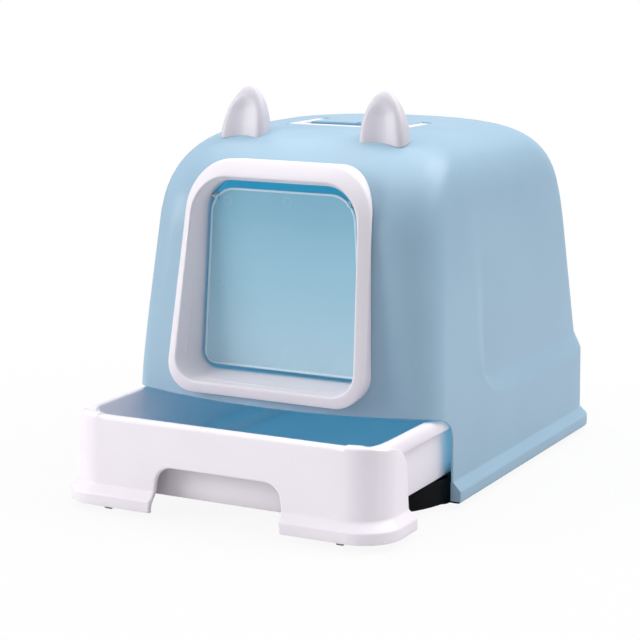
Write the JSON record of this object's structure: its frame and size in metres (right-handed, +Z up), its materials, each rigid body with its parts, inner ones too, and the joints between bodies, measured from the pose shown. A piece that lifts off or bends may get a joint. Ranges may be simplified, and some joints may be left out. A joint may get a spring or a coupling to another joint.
{
  "type": "drawer litter box",
  "caption": "Domed cat litter box with a framed swing flap, a pull-out litter drawer on wheels, a folding carry handle and a low base.",
  "frame": {"origin": "on the ground, at the middle of the whole outline with the drawer standing open by 100 mm", "axes": "+X to the right of someone facing the entry, +Y to the rear, +Z up; the entry and the drawer face -Y"},
  "size_m": [0.4, 0.6364, 0.451],
  "materials": {
    "shell_blue": "pale blue satin moulded plastic",
    "white_plastic": "white glossy moulded plastic",
    "base_black": "near-black satin moulded plastic",
    "flap_clear": "frosted see-through plastic",
    "pin_steel": "bright drawn steel",
    "pad_rubber": "soft matte rubber",
    "wheel_plastic": "grey hard plastic"
  },
  "bodies": {
    "base": {"base_tray": "base_black", "pad_front_left": "pad_rubber", "pad_front_right": "pad_rubber", "pad_rear_left": "pad_rubber", "pad_rear_right": "pad_rubber"},
    "drawer": {"drawer_tray": "white_plastic", "roller_axle_left": "pin_steel", "roller_axle_right": "pin_steel"},
    "wheel_left": {"roller_left": "wheel_plastic"},
    "wheel_right": {"roller_right": "wheel_plastic"},
    "cover": {"hood_shell": "shell_blue", "entry_frame": "white_plastic", "flap_pin_left": "pin_steel", "flap_pin_right": "pin_steel", "ear_left": "white_plastic", "ear_right": "white_plastic", "ear_screw_left": "pin_steel", "ear_screw_right": "pin_steel", "handle_pin_left": "pin_steel", "handle_pin_right": "pin_steel"},
    "flap": {"flap_panel": "flap_clear"},
    "handle": {"carry_handle": "white_plastic"}
  },
  "joints": [
    {"name": "drawer_slide", "type": "slide", "parent": "base", "child": "drawer", "axis": [0, -1, 0], "range_m": [-0.1, 0.23]},
    {"name": "wheel_left_spin", "type": "hinge", "parent": "drawer", "child": "wheel_left", "pos_m": [-0.142, -0.2988, 0.007], "axis": [1, 0, 0], "continuous": true},
    {"name": "wheel_right_spin", "type": "hinge", "parent": "drawer", "child": "wheel_right", "pos_m": [0.142, -0.2988, 0.007], "axis": [1, 0, 0], "continuous": true},
    {"name": "cover_lift", "type": "slide", "parent": "base", "child": "cover", "axis": [0, 0, 1], "range_m": [0, 0.3]},
    {"name": "flap_swing", "type": "hinge", "parent": "cover", "child": "flap", "pos_m": [0, -0.1618, 0.3336], "axis": [1, 0, 0], "range_deg": [-70, 70]},
    {"name": "handle_fold", "type": "hinge", "parent": "cover", "child": "handle", "pos_m": [0, 0.0632, 0.3998], "axis": [-1, 0, 0], "range_deg": [0, 90]}
  ],
  "couplings": [
    {"joint": "wheel_left_spin", "follows": "drawer_slide", "rad_per_m": 142.86},
    {"joint": "wheel_right_spin", "follows": "drawer_slide", "rad_per_m": 142.86}
  ]
}
